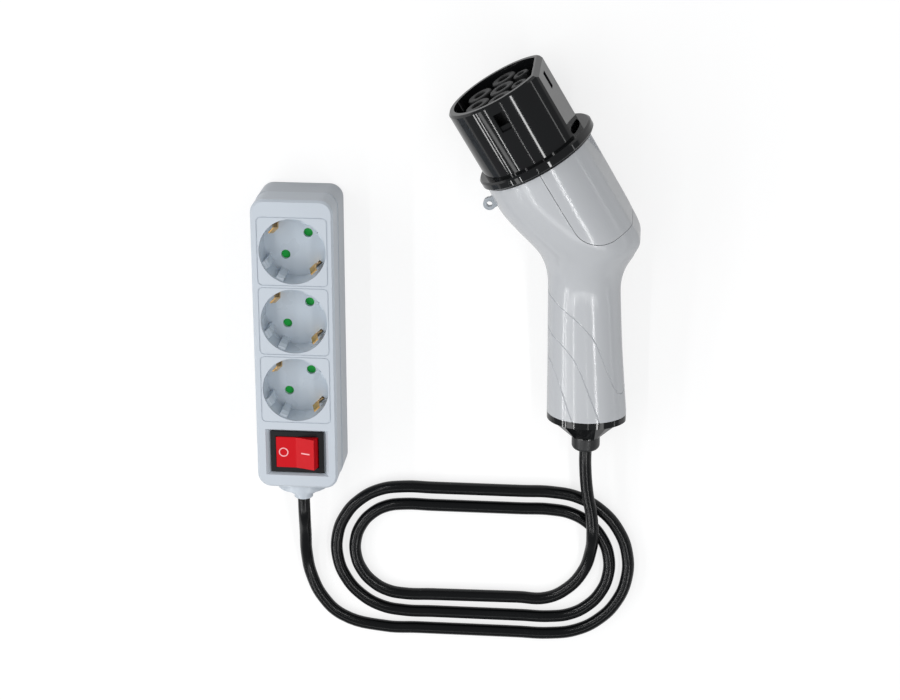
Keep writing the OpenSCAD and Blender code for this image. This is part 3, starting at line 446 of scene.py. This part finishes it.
def make_end_cap():
    """The cap in its own frame: back, left, and down the handle."""
    top = BAND_T + TAPER_T
    taper = stack((BAND_T - OVERLAP, oval(END_HALF - TAPER_INSET, END_SIDE - TAPER_INSET, BAND_CORNERS)),
                  (top, oval(LIP_HALF, LIP_SIDE, LIP_CORNERS)))
    lip = tube(circle(LIP_R, 72), top - OVERLAP, top + LIP_LEN)
    plug = tube(end_outline(PLUG_INSET), -PLUG_LEN, OVERLAP)
    half_w = TONGUE_W / 2
    tongue = tube([(-half_w, -TONGUE_SIDE), (half_w, -TONGUE_SIDE),
                   (half_w, -CORD_HOLE_R), (-half_w, -CORD_HOLE_R)],
                  -PLUG_LEN - TONGUE_LEN, -PLUG_LEN + 1)
    steps = [("UNION", mesh) for mesh in (taper, lip, plug, tongue)]
    steps.append(("DIFFERENCE", tube(circle(CORD_HOLE_R), -CORD_HOLE_REACH, CORD_HOLE_REACH)))
    for side in (-1, 1):
        screw = tube(circle(SCREW_HOLE_R, 24), -TONGUE_SIDE - 1, 0)
        spot = Matrix.Translation((side * SCREW_X, 0, -PLUG_LEN - SCREW_BACK))
        screw.transform(spot @ Matrix.Rotation(math.radians(-90), 4, "X"))
        steps.append(("DIFFERENCE", screw))
    cap = carve(tube(end_outline(0), 0, BAND_T), *steps)
    place = Matrix((GRIP_BACK, (0, 0, 1), GRIP_DOWN)).transposed().to_4x4()
    place.translation = GRIP_END
    cap.transform(place)
    return gun_piece("connector_end_cap", cap, "grip_end_cap", CAP_SHARP)


end_cap = make_end_cap()


# Marks on the rocker, thin inlays on its two slopes
ROCKER_PIVOT = Vector((STRIP_X, -100.6, 35))
ROCKER_TILT = math.radians(9)
ROCKER_MID = 4.6   # height of the rocker's valley above its pivot
MARK_T = 0.12
OFF_AT, OFF_R, OFF_HOLE_R = 7.43, 2.87, 2.22  # distance from the valley, then the ring's sizes
ON_AT, ON_LEN, ON_W = 6.2, 5.6, 0.75


def mark_piece(name, side, centre, outline, hole=()):
    """Thin plate with its middle this far along one slope of the rocker; side is -1 for left."""
    along = Vector((side * math.cos(ROCKER_TILT), 0, math.sin(ROCKER_TILT)))
    across = Vector((0, 1, 0))
    normal = along.cross(across) * side
    spot = Vector((0, 0, ROCKER_MID)) + along * centre
    loops = [outline, hole] if hole else [outline]
    points = []
    for z in (-MARK_T / 2, MARK_T / 2):
        for loop in loops:
            points += [spot + along * (side * u) + across * v + normal * z for u, v in loop]
    n = len(outline)
    if hole:
        faces = []
        for j in range(n):
            k = (j + 1) % n
            faces += [[j, n + j, n + k, k], [2 * n + j, 2 * n + k, 3 * n + k, 3 * n + j]]
            faces += [[j, k, 2 * n + k, 2 * n + j], [n + j, 3 * n + j, 3 * n + k, n + k]]
        mesh = new_mesh(name, points, faces)
    else:
        mesh = skin(name, points, n)
    place = Matrix.Translation(ROCKER_PIVOT) @ Matrix.Rotation(-ROCKER_TILT, 4, "Y")
    mesh.transform(Matrix.Scale(MM, 4) @ place)
    mesh.validate()
    piece = bpy.data.objects.new(name, mesh)
    bpy.context.scene.collection.objects.link(piece)
    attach(piece, "rocker")
    return piece


def rounded_bar(length, width):
    """Outline of a bar with round ends."""
    half = length / 2 - width / 2
    ends = ((half, -90), (-half, 90))
    turns = [(x, math.radians(start + a)) for x, start in ends for a in range(0, 181, 20)]
    return [(x + width / 2 * math.cos(turn), width / 2 * math.sin(turn)) for x, turn in turns]


mark_pieces = [
    mark_piece("mark_off", -1, OFF_AT, circle(OFF_R), circle(OFF_HOLE_R)),
    mark_piece("mark_on", 1, ON_AT, rounded_bar(ON_LEN, ON_W)),
]


# Materials
def add(tree, kind, **inputs):
    node = tree.nodes.new(kind)
    for name, value in inputs.items():
        node.inputs[name.replace("_", " ")].default_value = value
    return node


def plastic(name, colour, roughness=0.3, scale=900.0, grain=0.02, tint=0.04, rough_spread=0.04,
            **sockets):
    """A moulded surface: slow variation of its colour and roughness, with a fine grain as bump."""
    material = bpy.data.materials.new(name)
    material.use_nodes = True
    tree = material.node_tree
    shader = tree.nodes["Principled BSDF"]
    for socket, value in sockets.items():
        shader.inputs[socket.replace("_", " ")].default_value = value
    place = tree.nodes.new("ShaderNodeTexCoord")
    slow = add(tree, "ShaderNodeTexNoise", Scale=35.0, Detail=3.0)
    fine = add(tree, "ShaderNodeTexNoise", Scale=scale, Detail=4.0)
    for noise in (slow, fine):
        tree.links.new(place.outputs["Object"], noise.inputs["Vector"])
    colours = tree.nodes.new("ShaderNodeMix")
    colours.data_type = "RGBA"
    colours.inputs["A"].default_value = (*[c * (1 - tint) for c in colour], 1)
    colours.inputs["B"].default_value = (*[min(1.0, c * (1 + tint)) for c in colour], 1)
    tree.links.new(slow.outputs["Fac"], colours.inputs["Factor"])
    tree.links.new(colours.outputs["Result"], shader.inputs["Base Color"])
    spread = tree.nodes.new("ShaderNodeMapRange")
    spread.inputs["To Min"].default_value = max(0.02, roughness - rough_spread)
    spread.inputs["To Max"].default_value = roughness + rough_spread
    tree.links.new(slow.outputs["Fac"], spread.inputs["Value"])
    tree.links.new(spread.outputs["Result"], shader.inputs["Roughness"])
    bump = add(tree, "ShaderNodeBump", Strength=grain, Distance=0.0002)
    tree.links.new(fine.outputs["Fac"], bump.inputs["Height"])
    tree.links.new(bump.outputs["Normal"], shader.inputs["Normal"])
    return material


def metal(name, colour, roughness):
    return plastic(name, colour, roughness, scale=400.0, grain=0.08, tint=0.1, rough_spread=0.08,
                   Metallic=1.0)


MATERIALS = {
    "strip_white": plastic("strip_white", (0.56, 0.61, 0.667), 0.3, tint=0.02),
    "strip_back_white": plastic("strip_back_white", (0.50, 0.54, 0.588), 0.33, tint=0.02),
    "cup_white": plastic("cup_white", (0.58, 0.645, 0.71), 0.28, tint=0.02),
    "shutter_green": plastic("shutter_green", (0.010, 0.46, 0.06), 0.3, Specular_IOR_Level=0.3),
    "clip_brass": metal("clip_brass", (0.82, 0.50, 0.18), 0.28),
    "carrier_cream": plastic("carrier_cream", (0.70, 0.66, 0.55), 0.5),
    "screw_steel": metal("screw_steel", (0.60, 0.60, 0.62), 0.3),
    "switch_black": plastic("switch_black", (0.008, 0.0085, 0.010), 0.28, Specular_IOR_Level=0.3),
    "rocker_red": plastic("rocker_red", (0.58, 0.006, 0.012), 0.36, tint=0.06, Specular_IOR_Level=0.12),
    "cord_black": plastic("cord_black", (0.0025, 0.003, 0.0035), 0.2, scale=1500.0, grain=0.012,
                          Specular_IOR_Level=0.3),
    "nose_black": plastic("nose_black", (0.006, 0.0065, 0.007), 0.07, grain=0.006, rough_spread=0.02),
    "block_black": plastic("block_black", (0.006, 0.006, 0.0065), 0.5),
    "block_grey": plastic("block_grey", (0.016, 0.0165, 0.017), 0.45, grain=0.05, Specular_IOR_Level=0.3),
    "collar_black": plastic("collar_black", (0.006, 0.0065, 0.007), 0.06, grain=0.006, rough_spread=0.02),
    "seal_black": plastic("seal_black", (0.010, 0.010, 0.011), 0.5),
    "contact_metal": metal("contact_metal", (0.62, 0.60, 0.55), 0.25),
    "board_green": plastic("board_green", (0.015, 0.09, 0.03), 0.35),
    "shell_white": plastic("shell_white", (0.535, 0.55, 0.57), 0.14, grain=0.004, tint=0.015,
                           rough_spread=0.015),
    "lug_grey": plastic("lug_grey", (0.50, 0.54, 0.58), 0.3, Transmission_Weight=0.35),
    "cap_black": plastic("cap_black", (0.006, 0.0065, 0.007), 0.07, grain=0.006, rough_spread=0.02),
    "gland_black": plastic("gland_black", (0.014, 0.015, 0.016), 0.38),
}
mark_paint = plastic("mark_paint", (0.88, 0.44, 0.46), 0.4, tint=0.02)


def paint(piece, material):
    piece.data.materials.clear()
    piece.data.materials.append(material)


for subpart in frame["record"]["subparts"]:
    paint(nodes[subpart["node"]], MATERIALS[subpart["material_slot"]])
paint(cord_piece, MATERIALS["cord_black"])
for piece in housing_pieces:
    paint(piece, MATERIALS["shell_white"])
paint(end_cap, MATERIALS["cap_black"])
for piece in mark_pieces:
    paint(piece, mark_paint)


# Stage: floor, sky and lamps
FLOOR_HALF, FLOOR_Z = 6.0, -0.0002
GLOW, GLOW_SHARE = 1.5, 0.5  # the floor's own light as the camera sees it, and its share of the surface
MIRRORED_GLOW = 0.5          # share of that light that a glossy surface mirrors
SKY_COLOUR, SKY_STRENGTH = (0.95, 0.97, 1.0, 1), 0.27
LAMP_TARGET = Vector((0, -0.03, 0.03))
# Name, degrees to the right of straight above, distance, width, length, radiance
LAMPS = [
    ("left_outer", -58, 1.0, 0.05, 1.8, 13),
    ("left_inner", -49, 1.0, 0.03, 1.8, 16),
    ("left_thin", -25, 1.1, 0.02, 1.8, 22),
    ("faint", 9, 1.1, 0.008, 1.8, 12),
    ("right_wide", 29, 1.1, 0.055, 1.8, 15),
    ("right_low", 75, 1.0, 0.03, 1.8, 3),
]


def seen_ray(tree):
    """1 for rays straight from the camera or through glass, and MIRRORED_GLOW for mirrored ones."""
    path = tree.nodes.new("ShaderNodeLightPath")
    mirrored = tree.nodes.new("ShaderNodeMath")
    mirrored.operation = "MULTIPLY"
    mirrored.inputs[1].default_value = MIRRORED_GLOW
    tree.links.new(path.outputs["Is Glossy Ray"], mirrored.inputs[0])
    total = path.outputs["Is Camera Ray"]
    for ray in (path.outputs["Is Transmission Ray"], mirrored.outputs[0]):
        largest = tree.nodes.new("ShaderNodeMath")
        largest.operation = "MAXIMUM"
        tree.links.new(total, largest.inputs[0])
        tree.links.new(ray, largest.inputs[1])
        total = largest.outputs[0]
    return total


def make_floor():
    corners = [(x * FLOOR_HALF, y * FLOOR_HALF, 0) for x, y in ((-1, -1), (1, -1), (1, 1), (-1, 1))]
    mesh = new_mesh("floor", corners, [[0, 1, 2, 3]])
    floor = bpy.data.objects.new("floor", mesh)
    floor.location.z = FLOOR_Z
    bpy.context.scene.collection.objects.link(floor)
    material = plastic("floor_white", (0.55, 0.55, 0.55), 0.8, tint=0.005)
    tree = material.node_tree
    glow = add(tree, "ShaderNodeEmission", Color=(1, 1, 1, 1), Strength=GLOW)
    share = tree.nodes.new("ShaderNodeMath")
    share.operation = "MULTIPLY"
    share.inputs[1].default_value = GLOW_SHARE
    tree.links.new(seen_ray(tree), share.inputs[0])
    mix = tree.nodes.new("ShaderNodeMixShader")
    tree.links.new(share.outputs[0], mix.inputs["Fac"])
    tree.links.new(tree.nodes["Principled BSDF"].outputs[0], mix.inputs[1])
    tree.links.new(glow.outputs[0], mix.inputs[2])
    tree.links.new(mix.outputs[0], tree.nodes["Material Output"].inputs["Surface"])
    mesh.materials.append(material)


def make_sky():
    world = bpy.data.worlds.new("sky")
    bpy.context.scene.world = world
    world.use_nodes = True
    background = world.node_tree.nodes["Background"]
    background.inputs["Color"].default_value = SKY_COLOUR
    background.inputs["Strength"].default_value = SKY_STRENGTH


def strip_lamp(name, side, distance, width, length, radiance, turn=0):
    """Long narrow lamp that runs forward and back, this many degrees to the right of straight above.

    A turn of -90 degrees about the vertical lets it run from left to right, to the front of the part.
    """
    data = bpy.data.lights.new(name, "AREA")
    data.shape = "RECTANGLE"
    data.size, data.size_y = width, length
    data.energy = math.pi * width * length * radiance
    light = bpy.data.objects.new(name, data)
    turned = Matrix.Rotation(math.radians(turn), 4, "Z") @ Matrix.Rotation(math.radians(side), 4, "Y")
    light.matrix_world = Matrix.Translation(LAMP_TARGET) @ turned @ Matrix.Translation((0, 0, distance))
    bpy.context.scene.collection.objects.link(light)


make_floor()
make_sky()
for lamp in LAMPS:
    strip_lamp(*lamp)
strip_lamp("front_cross", 42, 1.1, 0.12, 1.6, 2.6, turn=-90)
bpy.context.scene.view_settings.view_transform = "Standard"
